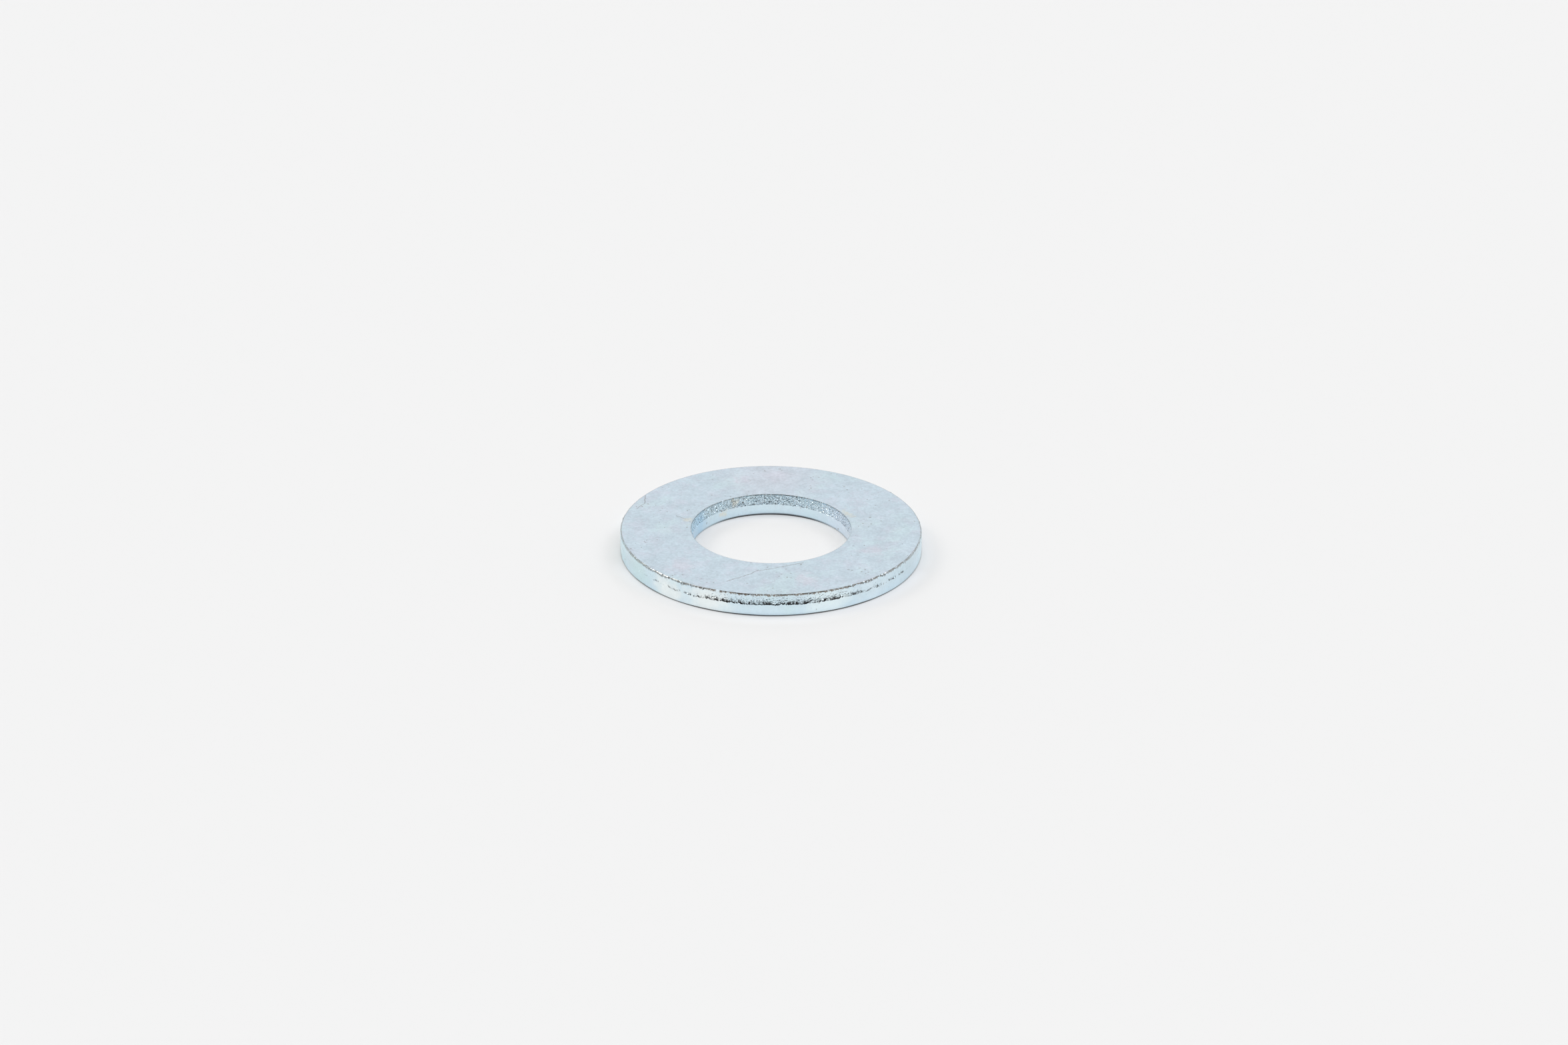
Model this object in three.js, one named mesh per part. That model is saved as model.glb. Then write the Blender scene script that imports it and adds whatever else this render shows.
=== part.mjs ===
// Plain flat washer, punched from steel strip and zinc plated.
//
// A compound die cuts the outside and the bore in one stroke, so both walls show the same
// bands. From the lower face up they are a rounded die roll, a smooth burnished band at the
// full size, a short step where the steel tore, and a fracture band that leans back into
// the material, up to a tumbled burr edge at the upper face.
//
// Millimetres, +Z up. The origin lies on the bore's axis, in the lower bearing face.

import * as THREE from "three";

// Driving dimensions, for an M10 bolt.
const OUTER_DIAMETER = 20;
const BORE_DIAMETER = 10.5;
const THICKNESS = 1.5;

// Bands that punching leaves on each wall.
const DIE_ROLL_HEIGHT = 0.09 * THICKNESS;
const DIE_ROLL_WIDTH = 0.11 * THICKNESS;
const BURNISHED_TOP = 0.50 * THICKNESS;
const STEP_TOP = 0.57 * THICKNESS;
const STEP_DEPTH = 0.03 * THICKNESS;
const BREAK_DEPTH = 0.040 * THICKNESS; // radial lean at the top of the fracture band
const BURR_EDGE_RADIUS = 0.040 * THICKNESS;

// Facets.
const SEGMENTS_ROUND = 144;
const DIE_ROLL_STEPS = 3;
const BURR_EDGE_STEPS = 2;

const ZINC_PLATE = new THREE.MeshStandardMaterial({
  name: "zinc_plated_steel",
  color: 0xc8d6e0,
  roughness: 0.38,
  metalness: 1,
});

// Evenly spaced angles of a quarter turn, both ends included.
function quarterTurn(steps) {
  return Array.from({ length: steps + 1 }, (_, i) => (i / steps) * (Math.PI / 2));
}

// One wall's outline as (radius, height) points, from the lower face up to the upper face.
// `inward` is the sign of the radial direction that points into the material.
function wallOutline(radius, inward) {
  const dieRoll = quarterTurn(DIE_ROLL_STEPS).map(
    (a) =>
      new THREE.Vector2(
        radius + inward * DIE_ROLL_WIDTH * (1 - Math.sin(a)),
        DIE_ROLL_HEIGHT * (1 - Math.cos(a)),
      ),
  );
  const tear = [
    new THREE.Vector2(radius, BURNISHED_TOP),
    new THREE.Vector2(radius + inward * STEP_DEPTH, STEP_TOP),
  ];
  const burrEdge = quarterTurn(BURR_EDGE_STEPS).map(
    (a) =>
      new THREE.Vector2(
        radius + inward * (BREAK_DEPTH + BURR_EDGE_RADIUS * (1 - Math.cos(a))),
        THICKNESS - BURR_EDGE_RADIUS * (1 - Math.sin(a)),
      ),
  );
  return [...dieRoll, ...tear, ...burrEdge];
}

// The washer's section, closed on itself and turned about the bore's axis.
function washerGeometry() {
  const outerWall = wallOutline(OUTER_DIAMETER / 2, -1);
  const boreWall = wallOutline(BORE_DIAMETER / 2, 1).reverse();
  const section = [...outerWall, ...boreWall, outerWall[0]];
  return new THREE.LatheGeometry(section, SEGMENTS_ROUND).rotateX(Math.PI / 2);
}

const flatWasher = new THREE.Mesh(washerGeometry(), ZINC_PLATE);
flatWasher.name = "flat_washer";

const washer = new THREE.Group();
washer.add(flatWasher);

export default washer;
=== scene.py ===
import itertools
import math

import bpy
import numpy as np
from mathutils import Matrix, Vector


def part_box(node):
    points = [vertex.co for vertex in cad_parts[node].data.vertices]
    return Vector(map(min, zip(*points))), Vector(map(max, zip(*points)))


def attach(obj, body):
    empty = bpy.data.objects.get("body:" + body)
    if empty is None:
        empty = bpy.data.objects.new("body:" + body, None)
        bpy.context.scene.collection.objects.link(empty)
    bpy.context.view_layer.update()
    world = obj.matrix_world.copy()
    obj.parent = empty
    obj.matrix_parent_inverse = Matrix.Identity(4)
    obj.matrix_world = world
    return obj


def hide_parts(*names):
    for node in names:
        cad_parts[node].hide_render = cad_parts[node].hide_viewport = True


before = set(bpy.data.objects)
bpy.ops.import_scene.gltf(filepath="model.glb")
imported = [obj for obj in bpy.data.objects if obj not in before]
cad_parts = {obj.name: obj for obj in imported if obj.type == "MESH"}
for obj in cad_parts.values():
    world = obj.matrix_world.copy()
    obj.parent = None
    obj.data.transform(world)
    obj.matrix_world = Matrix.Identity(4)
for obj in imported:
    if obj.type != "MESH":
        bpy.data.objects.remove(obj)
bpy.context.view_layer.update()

# A flat washer, punched from steel strip and zinc plated, on a pale studio floor.
#
# The CAD ring gives every size. One closed mesh replaces it, with the bands that a compound
# die leaves on both walls: a die roll, a burnished land, a ragged tear, a granular fracture
# band and a tumbled burr edge. Units are metres, +Z up, with the origin on the bore's axis
# in the lower face.

# ------------------------------------------------------------------ sizes from the CAD frame

NODE = "flat_washer"
SLOT = "zinc_plated_steel"

LOWEST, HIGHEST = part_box(NODE)
OUTER_RADIUS = (HIGHEST.x - LOWEST.x) / 2
THICKNESS = HIGHEST.z - LOWEST.z
BORE_RADIUS = min(math.hypot(v.co.x, v.co.y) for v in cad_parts[NODE].data.vertices)
MIDDLE_RADIUS = (OUTER_RADIUS + BORE_RADIUS) / 2

# ------------------------------------------------------------------ the punched walls

OUTER_COLUMNS = 1536
BORE_COLUMNS = OUTER_COLUMNS // 2

DIE_ROLL_ROWS = 5
LAND_STEPS = (0.10, 0.90, 0.97, 1.0)  # close at the top, so the tear doesn't bend its shading
FRACTURE_ROWS = 20
FACE_STEPS = (0.02, 0.08, 0.3, 0.65, 1.0)  # rows on a face, from a wall's edge to mid ring


# A wall's seed sets its random grain. Angles are in degrees, "middle" and "flake" from +X.
# tear_arcs are (degrees from the middle, strength of the tear there). The flake is a place
# where the burr edge is clean and stands out to the full radius. The arcs and the flake are
# listed one by one, and the far side of the outer wall is a guess.
OUTER_WALL = {
    "seed": 11,
    "tear_height": 0.505 * THICKNESS,
    "tear_ragged": 0.085 * THICKNESS,
    "teeth": 0.9,
    "tear_dark": 1.0,
    "tear_depth": 0.050 * THICKNESS,
    "tear_rise": 0.11 * THICKNESS,
    "lean": 0.0,
    "grain_size": 0.09 * THICKNESS,
    "grain_low": 0.042 * THICKNESS,   # relief of the fracture grain at the tear
    "grain_high": 0.006 * THICKNESS,  # and under the burr edge
    "grain_start": (0.2, 1.0),        # and where it sets in, in tear rises above the tear
    # pits: painted shade in the hollows of the fracture grain
    "pits": 0.06,
    "burr_height": 0.095 * THICKNESS,
    "burr_depth": 0.045 * THICKNESS,
    "worn": 1.0,
    "roll_height": 0.07 * THICKNESS,
    "roll_width": 0.09 * THICKNESS,
    "middle": 270,
    "tear_arcs": ((-62, 0.0), (-52, 0.32), (-27, 0.45), (-22, 1.0), (25, 1.0),
                  (31, 0.85), (45, 0.68), (60, 0.42), (66, 0.0)),
    "flake": 250,
}
BORE_WALL = {
    "seed": 53,
    "tear_height": 0.50 * THICKNESS,
    "tear_ragged": 0.018 * THICKNESS,
    "teeth": 0.2,
    "tear_dark": 0.5,
    "tear_depth": 0.006 * THICKNESS,
    "tear_rise": 0.04 * THICKNESS,
    "lean": 0.024 * THICKNESS,
    "grain_size": 0.075 * THICKNESS,
    "grain_low": 0.026 * THICKNESS,
    "grain_high": 0.026 * THICKNESS,
    "grain_start": (0.0, 0.3),
    # pits: painted shade in the hollows of the fracture grain
    "pits": 0.5,
    "burr_height": 0.070 * THICKNESS,
    "burr_depth": 0.020 * THICKNESS,
    "worn": 0.55,
    "roll_height": 0.11 * THICKNESS,
    "roll_width": 0.02 * THICKNESS,
    "middle": 90,
    "tear_arcs": ((-78, 0.65), (-48, 1.0), (48, 1.0), (78, 0.65)),
    "flake": 128,
}
BURR_SECTION = ((0.3, 0.45), (0.6, 0.8), (1.0, 1.0))  # depth and height of the burr edge's rows
ROW_CROWDING = 1.25  # above 1, fracture rows crowd towards the tear
FLAKE_REACH = (0.9, 0.5)  # degrees from the flake's middle where it ends and where it is full


def lattice_hash(cells, seed):
    """A repeatable whole number below 2**24 for each lattice cell."""
    x, y, z = (cells[..., i].astype(np.uint64) for i in range(3))
    mixed = x * np.uint64(73856093) ^ y * np.uint64(19349663) ^ z * np.uint64(83492791)
    mixed = (mixed ^ np.uint64(seed * 2654435761)) * np.uint64(6364136223846793005)
    return (mixed >> np.uint64(40)).astype(np.int64)


def lattice_gradient(cells, seed):
    """A random unit vector for each lattice cell."""
    number = lattice_hash(cells, seed)
    turn = (number & 4095) / 4096 * 2 * math.pi
    height = (number >> 12) / 4096 * 2 - 1
    flat = np.sqrt(1 - height**2)
    return np.stack([flat * np.cos(turn), flat * np.sin(turn), height], axis=-1)


def noise(points, size, seed):
    """Smooth noise, mostly within -1 to 1, with features about one size across."""
    scaled = points / size
    cell = np.floor(scaled).astype(np.int64)
    inside = scaled - cell
    ease = inside**3 * (inside * (inside * 6 - 15) + 10)
    total = np.zeros(points.shape[:-1])
    for corner in itertools.product((0, 1), repeat=3):
        weight = np.prod(np.where(corner, ease, 1 - ease), axis=-1)
        slope = lattice_gradient(cell + np.array(corner), seed)
        total += weight * np.sum(slope * (inside - corner), axis=-1)
    return total * 1.8


def smoothstep(low, high, value):
    t = np.clip((value - low) / (high - low), 0, 1)
    return t * t * (3 - 2 * t)


def circle(radius, columns):
    """Evenly spaced points of a circle in the floor plane."""
    turn = np.arange(columns) * 2 * math.pi / columns
    return np.stack([radius * np.cos(turn), radius * np.sin(turn), np.zeros(columns)], axis=1)


def degrees_from(ring, middle):
    """Angle of each point from a heading, within -180 to 180 degrees."""
    turn = np.degrees(np.arctan2(ring[:, 1], ring[:, 0]))
    return (turn - middle + 180) % 360 - 180


def tear_strength(ring, wall):
    """How strong the tear is round the wall, 1 over its deep arc."""
    angles, strengths = zip(*wall["tear_arcs"])
    steady = np.interp(degrees_from(ring, wall["middle"]), angles, strengths)
    gaps = smoothstep(-0.04, -0.2, noise(ring, 0.30 * THICKNESS, wall["seed"] + 9))
    return steady * (1 - gaps * smoothstep(0.9, 0.6, steady))


def tear_line(ring, wall):
    """Height of the ragged line where the cut stops being smooth and the steel tears."""
    seed = wall["seed"]
    wander = 0.40 * noise(ring, 0.9 * THICKNESS, seed)
    wander = wander + 0.45 * noise(ring, 0.3 * THICKNESS, seed + 1)
    teeth = np.abs(noise(ring, 0.11 * THICKNESS, seed + 2))
    return wall["tear_height"] + wall["tear_ragged"] * (wander + wall["teeth"] * teeth)


class WallRows:
    """Rows of a punched wall, added from the lower face to the upper one.

    inward is -1 where the metal lies inside the radius and +1 where it lies outside. Each
    row has its points and their values for fracture, burr edge, and dark exposed steel with painted
    shade.
    """

    def __init__(self, radius, columns, inward):
        self.radius = radius
        self.columns = columns
        self.inward = inward
        self.ring = circle(radius, columns)
        self.radial = self.ring / radius
        self.rows = []
        self.wear_and_shade = []

    def add(self, inset, height, fracture, burr, bare_and_shade):
        inset = np.broadcast_to(inset, self.columns)
        points = self.radial * (self.radius + self.inward * inset)[:, None]
        points[:, 2] = height
        self.rows.append(points)
        values = [np.broadcast_to(v, self.columns) for v in (fracture, burr, bare_and_shade)]
        self.wear_and_shade.append(np.stack(values, axis=1))


def add_die_roll(made, wall):
    """The rounded lower edge, with painted contact shade on its lower part, strongest round the
    middle of the wall. Returns its height.
    """
    from_middle = np.abs(degrees_from(made.ring, wall["middle"]))
    shaded = 1 - 0.85 * smoothstep(25, 60, from_middle)
    roll = 1 + 0.25 * noise(made.ring, 1.5 * THICKNESS, wall["seed"] + 3)
    for step in range(DIE_ROLL_ROWS + 1):
        turn = math.pi / 2 * step / DIE_ROLL_ROWS
        inset = wall["roll_width"] * roll * (1 - math.sin(turn))
        # painted contact shade on the lower part of the die roll, carried with the dark torn steel
        crevice = smoothstep(math.radians(82), math.radians(62), turn) * shaded
        made.add(inset, wall["roll_height"] * roll * (1 - math.cos(turn)), 0, 0, crevice)
    return wall["roll_height"] * roll


def fracture_relief(above, part, strength, wall):
    """Height of the fracture grain, which fades in above the tear and out under the burr."""
    low, high = wall["grain_low"], wall["grain_high"]
    relief = high + (low - high) * np.exp(-above / 1.2)
    relief *= smoothstep(*wall["grain_start"], above) * smoothstep(1.1, 0.8, part)
    return relief * (0.5 + 0.5 * strength)


def bare_steel_and_shade(place, grain, above, strength, wall):
    """How dark the torn steel is, from 0 to 1: dark exposed steel in clumps above the tear, and
    painted shade in the hollows of the fracture grain (the pits).
    """
    patches = noise(place, 0.27 * THICKNESS, wall["seed"] + 10)
    clump = 0.05 + 0.95 * smoothstep(-0.2, 0.08, patches)
    pits = wall["pits"] * smoothstep(0.0, 0.7, grain)
    near_tear = smoothstep(0.0, 0.6, strength) * clump * smoothstep(1.7, 0.6, above)
    ragged = smoothstep(-0.3, 0.1, grain * smoothstep(0.1, 0.6, above) + 0.1)
    return pits + (1 - pits) * wall["tear_dark"] * near_tear * ragged


def add_fracture(made, wall, tear, band_top, strength):
    """The granular band above the tear. Returns the inset of its last row."""
    seed = wall["seed"]
    size = wall["grain_size"]
    uneven = 1 + 0.5 * noise(made.ring, 0.5 * THICKNESS, seed + 6)
    depth = wall["tear_depth"] * strength * uneven
    for step in range(1, FRACTURE_ROWS + 1):
        part = (step / FRACTURE_ROWS) ** ROW_CROWDING
        height = tear + (band_top - tear) * part
        place = made.ring.copy()
        place[:, 2] = height * 1.4  # flakes lie along the wall
        grain = noise(place, size, seed + 7) + 0.5 * noise(place, size / 2, seed + 8)
        above = (height - tear) / (wall["tear_rise"] * (0.1 + 0.9 * strength))
        relief = fracture_relief(above, part, strength, wall)
        base = depth * np.clip(above, 0, 1) + wall["lean"] * part
        inset = np.maximum(base + relief * grain, 0)
        made.add(inset, height, 1, 0, bare_steel_and_shade(place, grain, above, strength, wall))
    return inset


def add_burr_edge(made, wall, inset, band_top, burr_height, strength):
    """The worn upper edge, with one clean flake."""
    flake = smoothstep(*FLAKE_REACH, np.abs(degrees_from(made.ring, wall["flake"])))
    top_inset = inset.mean() + 0.3 * (inset - inset.mean()) + wall["burr_depth"]
    for across, up in BURR_SECTION:
        worn = wall["worn"] * (0.65 + 0.35 * strength) * (1 - flake)
        across = across * (1 - flake)
        made.add(inset + (top_inset - inset) * across, band_top + burr_height * up, 0, worn, 0)


def wall_rows(radius, columns, inward, wall):
    """All rows of one punched wall and their wear values."""
    made = WallRows(radius, columns, inward)
    land_start = add_die_roll(made, wall)
    tear = tear_line(made.ring, wall)
    for step in LAND_STEPS:
        made.add(0, land_start + (tear - land_start) * step, 0, 0, 0)

    coarse = noise(made.ring, 0.45 * THICKNESS, wall["seed"] + 4)
    fine = noise(made.ring, 0.08 * THICKNESS, wall["seed"] + 5)
    burr_height = wall["burr_height"] * (1 + 0.4 * coarse + 0.7 * fine)
    band_top = THICKNESS - burr_height
    strength = tear_strength(made.ring, wall)
    inset = add_fracture(made, wall, tear, band_top, strength)
    add_burr_edge(made, wall, inset, band_top, burr_height, strength)
    return made.rows, made.wear_and_shade


def face_rows(edge, columns, height):
    """Rows across a flat face, from a wall's edge row to the middle of the ring."""
    middle = circle(MIDDLE_RADIUS, columns)
    rows = []
    for step in FACE_STEPS:
        points = edge * (1 - step) + middle * step
        points[:, 2] = height
        rows.append(points)
    return rows


def no_wear(rows):
    return [np.zeros_like(row) for row in rows]


def ring_section():
    """All rows of the washer in order round its section, with their marks of fracture, burr edge,
    dark steel and painted shade.
    """
    outer, outer_wear_and_shade = wall_rows(OUTER_RADIUS, OUTER_COLUMNS, -1, OUTER_WALL)
    bore, bore_wear_and_shade = wall_rows(BORE_RADIUS, BORE_COLUMNS, 1, BORE_WALL)
    top_out = face_rows(outer[-1], OUTER_COLUMNS, THICKNESS)
    top_in = face_rows(bore[-1], BORE_COLUMNS, THICKNESS)[-2::-1]
    bottom_in = face_rows(bore[0], BORE_COLUMNS, 0.0)[:-1]
    bottom_out = face_rows(outer[0], OUTER_COLUMNS, 0.0)[::-1]
    rows = outer + top_out + top_in + bore[::-1] + bottom_in + bottom_out
    wear_and_shade = outer_wear_and_shade + no_wear(top_out) + no_wear(top_in) + bore_wear_and_shade[::-1]
    wear_and_shade += no_wear(bottom_in) + no_wear(bottom_out)
    return rows, wear_and_shade


def strip_faces(first, second):
    """Faces between two closed rows of vertex numbers, of equal or double length."""
    faces = []
    coarse = min(len(first), len(second))
    share_first, share_second = len(first) // coarse, len(second) // coarse
    for i in range(coarse):
        along = [first[(i * share_first + k) % len(first)] for k in range(share_first + 1)]
        back = [second[(i * share_second + k) % len(second)] for k in range(share_second + 1)]
        faces.append(tuple(along + back[::-1]))
    return faces


def washer_mesh():
    rows, wear_and_shade = ring_section()
    starts = np.cumsum([0] + [len(row) for row in rows])
    numbers = [list(range(a, b)) for a, b in zip(starts, starts[1:])]
    faces = []
    for first, second in zip(numbers, numbers[1:] + numbers[:1]):
        faces += strip_faces(first, second)
    mesh = bpy.data.meshes.new("washer")
    mesh.from_pydata(np.concatenate(rows), [], faces)
    wear_and_shade = np.concatenate(wear_and_shade).astype(np.float32)
    attribute = mesh.attributes.new("wear_and_shade", "FLOAT_VECTOR", "POINT")
    attribute.data.foreach_set("vector", wear_and_shade.ravel())
    torn = wear_and_shade[:, 0] + wear_and_shade[:, 1] > 0
    smooth = [not torn[list(face)].any() for face in faces]
    mesh.polygons.foreach_set("use_smooth", smooth)
    mesh.update()
    return mesh


# ------------------------------------------------------------------ node helpers

def add_node(tree, kind, inputs=(), **settings):
    """Adds a shader node. inputs maps a socket's name or number to a value or a socket."""
    made = tree.nodes.new(kind)
    for name, value in settings.items():
        setattr(made, name, value)
    for key, value in dict(inputs).items():
        if isinstance(value, bpy.types.NodeSocket):
            tree.links.new(value, made.inputs[key])
        else:
            made.inputs[key].default_value = value
    return made


def math_node(tree, operation, a, b=0.0, clamp=False):
    made = add_node(tree, "ShaderNodeMath", {0: a, 1: b}, operation=operation, use_clamp=clamp)
    return made.outputs[0]


def ramp(tree, value, low, high, to_low=0.0, to_high=1.0):
    """value eased from to_low at low to to_high at high."""
    inputs = {"Value": value, "From Min": low, "From Max": high, "To Min": to_low, "To Max": to_high}
    made = add_node(tree, "ShaderNodeMapRange", inputs, interpolation_type="SMOOTHSTEP")
    return made.outputs["Result"]


def mix_colour(tree, factor, a, b):
    made = add_node(tree, "ShaderNodeMix", data_type="RGBA", clamp_factor=True)
    sockets = {0: factor, 6: a, 7: b}
    for number, value in sockets.items():
        if isinstance(value, bpy.types.NodeSocket):
            tree.links.new(value, made.inputs[number])
        elif number == 0:
            made.inputs[0].default_value = value
        else:
            made.inputs[number].default_value = (*value, 1.0)
    return made.outputs[2]


def noise_texture(tree, place, size, detail=2.0, roughness=0.5):
    inputs = {"Vector": place, "Scale": 1 / size, "Detail": detail, "Roughness": roughness}
    return add_node(tree, "ShaderNodeTexNoise", inputs).outputs["Fac"]


# ------------------------------------------------------------------ zinc plate

FACE_BLUE = (0.685, 0.810, 0.900)
WALL_BLUE = (0.705, 0.855, 0.935)
LAVENDER = (0.715, 0.800, 0.900)
PINK = (0.750, 0.775, 0.870)
GREEN = (0.660, 0.830, 0.860)
STRAW = (0.780, 0.800, 0.740)
DEEP_BLUE = (0.540, 0.770, 0.950)
TEAL = (0.660, 0.900, 0.990)
# The next two colours are painted reflection, brightening patches of the walls.
PAINTED_REFLECTION = (0.940, 0.990, 0.985)
PAINTED_BLUE_REFLECTION = (0.850, 0.970, 1.000)
SKY = (0.780, 0.905, 0.975)
GREY_BLUE = (0.665, 0.800, 0.870)
LILAC = (0.780, 0.890, 1.000)
GREY = (0.735, 0.790, 0.875)
WORN_EDGE = (0.235, 0.205, 0.175)
# Dark exposed steel, also used for painted shade in the grain's hollows and at the die roll.
BARE_TEAR_AND_SHADE = (0.055, 0.050, 0.050)

# Patches of tint in the passivate film: angle from +X in degrees, distance
# from the axis, height, reach (these three as parts of the outer radius) and colour.
FACE_TINTS = (
    (90, 0.80, 0.15, 0.45, GREY),
    (88, 0.84, 0.15, 0.13, PINK),
    (104, 0.80, 0.15, 0.07, PINK),
    (225, 0.82, 0.15, 0.13, PINK),
    (333, 0.76, 0.15, 0.10, PINK),
    (287, 0.80, 0.15, 0.10, PINK),
    (170, 0.56, 0.15, 0.06, STRAW),
    (25, 0.56, 0.15, 0.06, STRAW),
)
# On the walls, the near-white patches are painted reflection, brightening the lands; the others are
# the film's own tints.
WALL_TINTS_AND_REFLECTIONS = (
    (190, 1.00, 0.06, 0.22, TEAL),
    (210, 1.00, 0.06, 0.20, GREEN),
    (228, 1.00, 0.04, 0.17, PAINTED_REFLECTION),
    (246, 1.00, 0.04, 0.22, PAINTED_REFLECTION),
    (292, 1.00, 0.05, 0.20, PAINTED_BLUE_REFLECTION),
    (312, 1.00, 0.06, 0.17, SKY),
    (334, 1.00, 0.06, 0.20, GREY_BLUE),
    (351, 1.00, 0.06, 0.16, TEAL),
    (118, 0.53, 0.12, 0.06, STRAW),
    (127, 0.53, 0.06, 0.04, STRAW),
    (175, 0.53, 0.05, 0.18, DEEP_BLUE),
    (156, 0.53, 0.07, 0.14, DEEP_BLUE),
    (5, 0.53, 0.06, 0.18, LILAC),
    (30, 0.53, 0.08, 0.24, LILAC),
    (22, 0.53, 0.13, 0.22, LILAC),
)

SCRATCH_WIDTH = 0.03 * THICKNESS
# Hairlines on the upper face, each as points joined in turn, in parts of the outer radius.
SCRATCHES = (
    ((-0.850, 0.500), (-0.850, 0.380), (-0.900, 0.290)),
    ((-0.280, -0.800), (-0.160, -0.720), (-0.080, -0.630)),
    ((-0.090, -0.650), (0.060, -0.590), (0.210, -0.520)),
    ((-0.630, 0.180), (-0.570, 0.130)),
)
# How strongly each mark shows over the film.
TEAR_AND_SHADE_SHOWS = 0.96
PITS_SHOW = 0.55
SCRATCHES_SHOW = 0.45
FACE_TINTS_SHOW = 0.75
WALL_TINTS_AND_REFLECTIONS_SHOW = 0.88

SMOOTHEST, ROUGHEST = 0.30, 0.42  # roughness of the plate on the faces
SHEARED_SMOOTHER = 0.20           # how much smoother the sheared walls are


def bent_place(tree, place, size, reach):
    """Object coordinates moved sideways by up to half of reach, in waves of one size."""
    inputs = {"Vector": place, "Scale": 1 / size, "Detail": 4.0}
    waves = add_node(tree, "ShaderNodeTexNoise", inputs)
    shift = add_node(tree, "ShaderNodeVectorMath", {
        0: waves.outputs["Color"], 1: (0.5, 0.5, 0.5)}, operation="SUBTRACT")
    return add_node(tree, "ShaderNodeVectorMath", {
        0: shift.outputs[0], 1: (reach, reach, 0), 2: place}, operation="MULTIPLY_ADD").outputs[0]


def tint_patch(tree, place, angle, distance, height, reach):
    """1 at the middle of a patch, easing to 0 at its reach."""
    turn = math.radians(angle)
    middle = Vector((math.cos(turn) * distance, math.sin(turn) * distance, height)) * OUTER_RADIUS
    away = add_node(tree, "ShaderNodeVectorMath", {0: place, 1: middle}, operation="DISTANCE")
    return ramp(tree, away.outputs["Value"], reach * OUTER_RADIUS, 0.2 * reach * OUTER_RADIUS)


def film_colour(tree, place, wall):
    """Blue passivate film with its drifting tints, and pale patches of painted reflection on the
    walls.
    """
    colour = mix_colour(tree, wall, FACE_BLUE, WALL_BLUE)
    drift = noise_texture(tree, place, 0.8 * THICKNESS, 5.0, 0.75)
    clear = ramp(tree, wall, 0.0, 1.0, 1.0, 0.3)  # the film is more even on the sheared walls
    drifted = math_node(tree, "MULTIPLY", ramp(tree, drift, 0.45, 0.65), clear)
    colour = mix_colour(tree, drifted, colour, LAVENDER)
    hue = noise_texture(tree, place, 1.8 * THICKNESS, 4.0, 0.6)
    colour = mix_colour(tree, ramp(tree, hue, 0.52, 0.70, 0.0, 0.45), colour, GREEN)

    bent = bent_place(tree, place, 0.5 * THICKNESS, 1.6 * THICKNESS)
    face = math_node(tree, "SUBTRACT", 1.0, wall)
    for tints, here, weight in (
            (FACE_TINTS, face, FACE_TINTS_SHOW), (WALL_TINTS_AND_REFLECTIONS, wall, WALL_TINTS_AND_REFLECTIONS_SHOW)):
        shown = math_node(tree, "MULTIPLY", here, weight)
        for angle, distance, height, reach, tint in tints:
            patch = tint_patch(tree, bent, angle, distance, height, reach)
            colour = mix_colour(tree, math_node(tree, "MULTIPLY", patch, shown), colour, tint)

    mottle = noise_texture(tree, place, 0.9 * THICKNESS, 6.0, 0.8)
    fine = noise_texture(tree, place, 0.12 * THICKNESS, 2.0)
    value = math_node(tree, "ADD", ramp(tree, mottle, 0.3, 0.7, -0.075, 0.075),
                      ramp(tree, fine, 0.25, 0.75, -0.06, 0.06))
    value = math_node(tree, "ADD", math_node(tree, "MULTIPLY", value, clear), 1.0)
    return add_node(tree, "ShaderNodeHueSaturation", {"Color": colour, "Value": value}).outputs[0]


def pit_mask(tree, place):
    """Small pits under the plate, in loose clusters."""
    wobble = noise_texture(tree, place, 0.05 * THICKNESS, 2.0)
    inputs = {"Vector": place, "Scale": 1 / (0.26 * THICKNESS)}
    cells = add_node(tree, "ShaderNodeTexVoronoi", inputs)
    shift = math_node(tree, "MULTIPLY", wobble, 0.6)
    away = math_node(tree, "ADD", cells.outputs["Distance"], shift)
    cluster = noise_texture(tree, place, 1.3 * THICKNESS, 2.0)
    reach = ramp(tree, cluster, 0.45, 0.66, 0.34, 0.54)
    return ramp(tree, math_node(tree, "SUBTRACT", reach, away), 0.0, 0.14)


def vector_node(tree, operation, inputs, output=0):
    return add_node(tree, "ShaderNodeVectorMath", inputs, operation=operation).outputs[output]


def away_from_line(tree, place, start, end):
    """Distance from a straight line between two points."""
    along = end - start
    from_start = vector_node(tree, "SUBTRACT", {0: place, 1: start})
    dot = vector_node(tree, "DOT_PRODUCT", {
        0: from_start, 1: along / along.length_squared}, "Value")
    part = math_node(tree, "ADD", dot, 0.0, clamp=True)
    nearest = vector_node(tree, "SCALE", {0: along, "Scale": part})
    return vector_node(tree, "DISTANCE", {0: from_start, 1: nearest}, "Value")


def scratch_mask(tree, place):
    """1 on the hairline scratches of the upper face."""
    place = bent_place(tree, place, 0.25 * THICKNESS, 0.2 * THICKNESS)
    total = 0.0
    for scratch in SCRATCHES:
        points = [Vector((*point, THICKNESS / OUTER_RADIUS)) * OUTER_RADIUS for point in scratch]
        for start, end in zip(points, points[1:]):
            away = away_from_line(tree, place, start, end)
            line = ramp(tree, away, SCRATCH_WIDTH, 0.5 * SCRATCH_WIDTH)
            total = math_node(tree, "MAXIMUM", total, line)
    return total


def over(tree, colour, mask, shows, mark):
    """A mark's colour over the film where its mask is, as strongly as it shows."""
    return mix_colour(tree, math_node(tree, "MULTIPLY", mask, shows), colour, mark)


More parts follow.
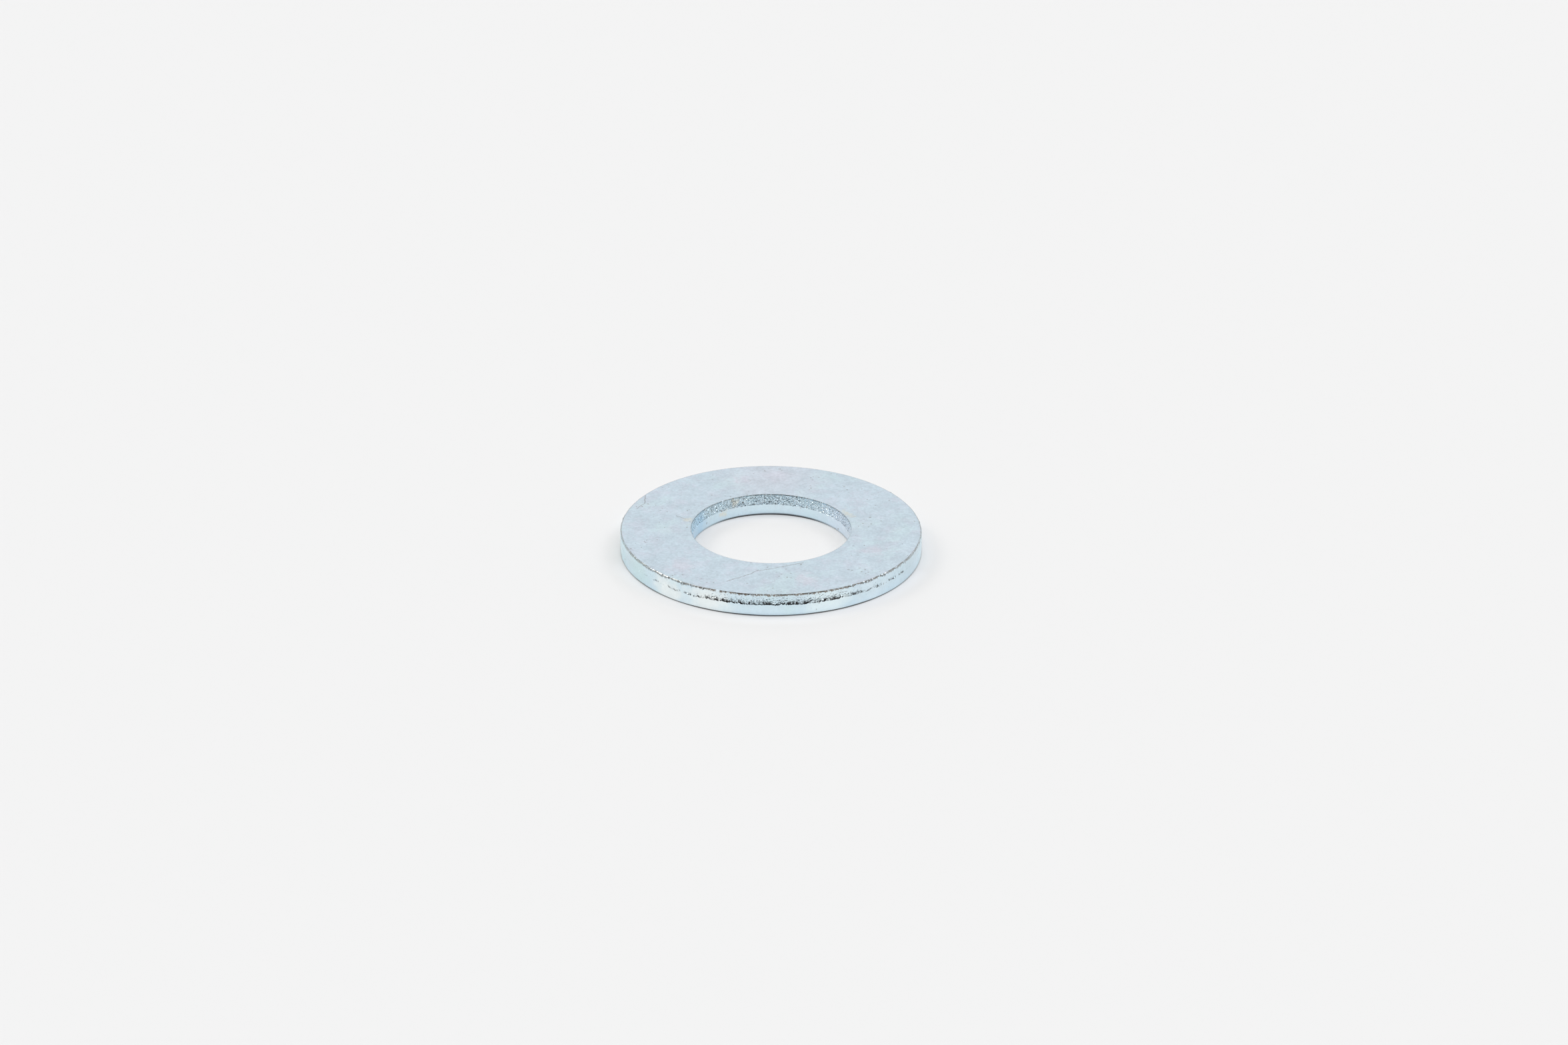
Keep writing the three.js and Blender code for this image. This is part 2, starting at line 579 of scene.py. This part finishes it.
def plated_steel():
    material = bpy.data.materials.new(SLOT)
    material.use_nodes = True
    tree = material.node_tree
    shader = tree.nodes["Principled BSDF"]
    place = add_node(tree, "ShaderNodeTexCoord").outputs["Object"]
    normal = add_node(tree, "ShaderNodeNewGeometry").outputs["True Normal"]
    wear_and_shade = add_node(tree, "ShaderNodeAttribute", attribute_name="wear_and_shade")
    fracture, burr, torn = add_node(
        tree, "ShaderNodeSeparateXYZ", {0: wear_and_shade.outputs["Vector"]}).outputs
    upright = add_node(tree, "ShaderNodeSeparateXYZ", {0: normal}).outputs[2]
    wall = ramp(tree, math_node(tree, "ABSOLUTE", upright), 0.95, 0.7)

    colour = film_colour(tree, place, wall)
    speckle = noise_texture(tree, place, 0.07 * THICKNESS, 2.0)
    # Dark exposed steel at the tear, painted shade in the fracture grain's hollows, and painted
    # contact shade on the die roll.
    colour = over(tree, colour, torn, TEAR_AND_SHADE_SHOWS, BARE_TEAR_AND_SHADE)
    colour = over(tree, colour, pit_mask(tree, place), PITS_SHOW, WORN_EDGE)
    colour = over(tree, colour, scratch_mask(tree, place), SCRATCHES_SHOW, WORN_EDGE)
    worn = math_node(tree, "MULTIPLY", burr, ramp(tree, speckle, 0.32, 0.52))
    colour = mix_colour(tree, worn, colour, WORN_EDGE)

    rough = ramp(tree, speckle, 0.3, 0.7, SMOOTHEST, ROUGHEST)
    sheared = math_node(tree, "MULTIPLY", wall, SHEARED_SMOOTHER)
    rough = math_node(tree, "SUBTRACT", rough, sheared)
    grain = noise_texture(tree, place, 0.05 * THICKNESS, 3.0)
    strength = ramp(tree, fracture, 0.0, 1.0, 0.10, 0.4)
    bump = add_node(tree, "ShaderNodeBump", {
        "Height": grain, "Strength": strength, "Distance": 0.02 * THICKNESS})

    tree.links.new(colour, shader.inputs["Base Color"])
    tree.links.new(rough, shader.inputs["Roughness"])
    tree.links.new(bump.outputs["Normal"], shader.inputs["Normal"])
    shader.inputs["Metallic"].default_value = 1.0
    return material


def make_washer():
    washer = bpy.data.objects.new("punched_washer", washer_mesh())
    bpy.context.scene.collection.objects.link(washer)
    washer.data.materials.append(plated_steel())
    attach(washer, "root")
    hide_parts(NODE)
    return washer


# ------------------------------------------------------------------ studio

FLOOR_SIZE = 400 * OUTER_RADIUS
FLOOR_COLOUR = (0.55, 0.55, 0.55)
FLOOR_GLOW = 0.15  # painted glow over the floor, which lightens the washer's shadows; off under the washer
GLOW_EDGE = 0.06 * THICKNESS
# A stand-in for the light that the washer throws on the floor beside its walls:
# extra glow in front of and behind the middle, half as much at the right, none at the left.
FLOOR_BOUNCE = 0.10
BOUNCE_REACH = 0.16 * OUTER_RADIUS
BOUNCE_TINT = (0.97, 1.03, 1.10)
BOUNCE_AT_RIGHT = 0.5
BACKDROP_LIGHT = 0.90  # what the camera sees past the floor

# Light from the studio. Heights are angles above level, and headings angles from straight in
# front, where the camera stands and the studio is unlit.
WALL_LIGHT = 0.76
CEILING_LIGHT = 2.60
CEILING_STARTS, CEILING_FULL = 0.84, 0.95  # as sines of the height
FRONT_DARK = 0.03
CARD_HEADINGS = (math.radians(50), math.radians(30))  # where the dark side ends and is full
CARD_HEIGHTS = (math.radians(50), math.radians(35))
STRIP_HEADINGS = (-0.35, 0.1)  # a low dark strip, wider than the card, as cosines
STRIP_HEIGHTS = (math.radians(14), math.radians(6))
STRIP_DARKNESS = 0.7
LAMP_EDGE = (math.radians(14), math.radians(10))
LAMPS = (
    ((-0.68, 0.20, 0.71), (6.2, 6.1, 5.8)),
    ((0.60, 0.24, 0.77), (5.3, 5.4, 5.7)),
)


def link_floor_glow(tree, shader):
    """The floor's painted glow, which lightens the washer's shadows and stops where the washer
    covers it.
    """
    place = add_node(tree, "ShaderNodeNewGeometry").outputs["Position"]
    across, level, _ = add_node(tree, "ShaderNodeSeparateXYZ", {0: place}).outputs
    from_axis = vector_node(tree, "LENGTH", {0: place}, "Value")
    outside = ramp(tree, from_axis, OUTER_RADIUS - GLOW_EDGE, OUTER_RADIUS + GLOW_EDGE)
    inside = ramp(tree, from_axis, BORE_RADIUS + GLOW_EDGE, BORE_RADIUS - GLOW_EDGE)
    uncovered = math_node(tree, "ADD", outside, inside)

    near_rim = ramp(tree, from_axis, OUTER_RADIUS + BOUNCE_REACH, OUTER_RADIUS)
    near_bore = ramp(tree, from_axis, BORE_RADIUS - BOUNCE_REACH, BORE_RADIUS)
    near_wall = math_node(tree, "MINIMUM", near_rim, near_bore)
    from_side = math_node(tree, "ABSOLUTE", level)
    facing = ramp(tree, from_side, 0.15 * OUTER_RADIUS, 0.45 * OUTER_RADIUS)
    at_right = ramp(tree, across, 0.4 * OUTER_RADIUS, 0.9 * OUTER_RADIUS)
    at_right = math_node(tree, "MULTIPLY", at_right, BOUNCE_AT_RIGHT)
    facing = math_node(tree, "MAXIMUM", facing, at_right)
    bounce = math_node(tree, "MULTIPLY", near_wall, FLOOR_BOUNCE)
    glow = math_node(tree, "ADD", math_node(tree, "MULTIPLY", facing, bounce), FLOOR_GLOW)
    # The glow is off under the washer: a painted contact shade in the gap at its foot.
    glow = math_node(tree, "MULTIPLY", uncovered, glow)

    bluish = math_node(tree, "MULTIPLY", near_wall, facing)
    tint = mix_colour(tree, bluish, (1.0, 1.0, 1.0), BOUNCE_TINT)
    tree.links.new(tint, shader.inputs["Emission Color"])
    tree.links.new(glow, shader.inputs["Emission Strength"])


def make_floor():
    half = FLOOR_SIZE / 2
    corners = [(-half, -half, 0), (half, -half, 0), (half, half, 0), (-half, half, 0)]
    mesh = bpy.data.meshes.new("floor")
    mesh.from_pydata(corners, [], [(0, 1, 2, 3)])
    floor = bpy.data.objects.new("floor", mesh)
    bpy.context.scene.collection.objects.link(floor)
    material = bpy.data.materials.new("floor")
    material.use_nodes = True
    shader = material.node_tree.nodes["Principled BSDF"]
    shader.inputs["Base Color"].default_value = (*FLOOR_COLOUR, 1.0)
    shader.inputs["Roughness"].default_value = 1.0
    shader.inputs["Specular IOR Level"].default_value = 0.0
    link_floor_glow(material.node_tree, shader)
    mesh.materials.append(material)


def towards(tree, light, share, target):
    """light moved towards a target by a share."""
    gap = math_node(tree, "SUBTRACT", target, light)
    return math_node(tree, "ADD", light, math_node(tree, "MULTIPLY", share, gap))


def studio_light(tree, direction):
    """Brightness of the walls, the ceiling and the dark front, without the lamps."""
    up = add_node(tree, "ShaderNodeSeparateXYZ", {0: direction}).outputs[2]
    level = vector_node(tree, "MULTIPLY", {0: direction, 1: (1, 1, 0)})
    heading = vector_node(tree, "NORMALIZE", {0: level})
    front = vector_node(tree, "DOT_PRODUCT", {0: heading, 1: (0, -1, 0)}, "Value")

    light = ramp(tree, up, CEILING_STARTS, CEILING_FULL, WALL_LIGHT, CEILING_LIGHT)
    card_across = ramp(tree, front, *(math.cos(angle) for angle in CARD_HEADINGS))
    card_up = ramp(tree, up, *(math.sin(angle) for angle in CARD_HEIGHTS))
    card = math_node(tree, "MULTIPLY", card_across, card_up)
    strip_across = ramp(tree, front, *STRIP_HEADINGS, 0.0, STRIP_DARKNESS)
    strip_up = ramp(tree, up, *(math.sin(angle) for angle in STRIP_HEIGHTS))
    strip = math_node(tree, "MULTIPLY", strip_across, strip_up)
    return towards(tree, light, math_node(tree, "MAXIMUM", card, strip), FRONT_DARK)


def make_light():
    """Soft light from all round, brightest overhead, with one dark side in front."""
    world = bpy.data.worlds.new("studio")
    world.use_nodes = True
    bpy.context.scene.world = world
    tree = world.node_tree
    direction = add_node(tree, "ShaderNodeTexCoord").outputs["Generated"]
    seen = add_node(tree, "ShaderNodeLightPath").outputs["Is Camera Ray"]
    light = towards(tree, studio_light(tree, direction), seen, BACKDROP_LIGHT)
    not_seen = math_node(tree, "SUBTRACT", 1.0, seen)
    for heading, colour in LAMPS:
        facing = {0: direction, 1: Vector(heading).normalized()}
        lamp = vector_node(tree, "DOT_PRODUCT", facing, "Value")
        inside = ramp(tree, lamp, *(math.cos(angle) for angle in LAMP_EDGE))
        light = mix_colour(tree, math_node(tree, "MULTIPLY", inside, not_seen), light, colour)
    background = tree.nodes["Background"]
    tree.links.new(light, background.inputs["Color"])
    background.inputs["Strength"].default_value = 1.0


CAMERA_ELEVATION = math.radians(25.78)
CAMERA_DISTANCE = 24.39 * OUTER_RADIUS
CAMERA_ROLL = math.radians(0.50)
CAMERA_AIM = Vector((0.087, 0.403, 0.0)) * OUTER_RADIUS
CAMERA_LENS = 84.2  # on a sensor 36 mm wide


def make_camera():
    data = bpy.data.cameras.new("camera")
    data.lens = CAMERA_LENS
    data.clip_start = 0.01
    data.clip_end = 10.0
    camera = bpy.data.objects.new("camera", data)
    bpy.context.scene.collection.objects.link(camera)
    back = Vector((0, -math.cos(CAMERA_ELEVATION), math.sin(CAMERA_ELEVATION)))
    place = back * CAMERA_DISTANCE
    aim = (CAMERA_AIM - place).to_track_quat("-Z", "Y").to_matrix().to_4x4()
    camera.matrix_world = Matrix.Translation(place) @ aim @ Matrix.Rotation(CAMERA_ROLL, 4, "Z")
    bpy.context.scene.camera = camera


make_camera()
make_floor()
make_light()
make_washer()
bpy.context.scene.view_settings.view_transform = "Standard"
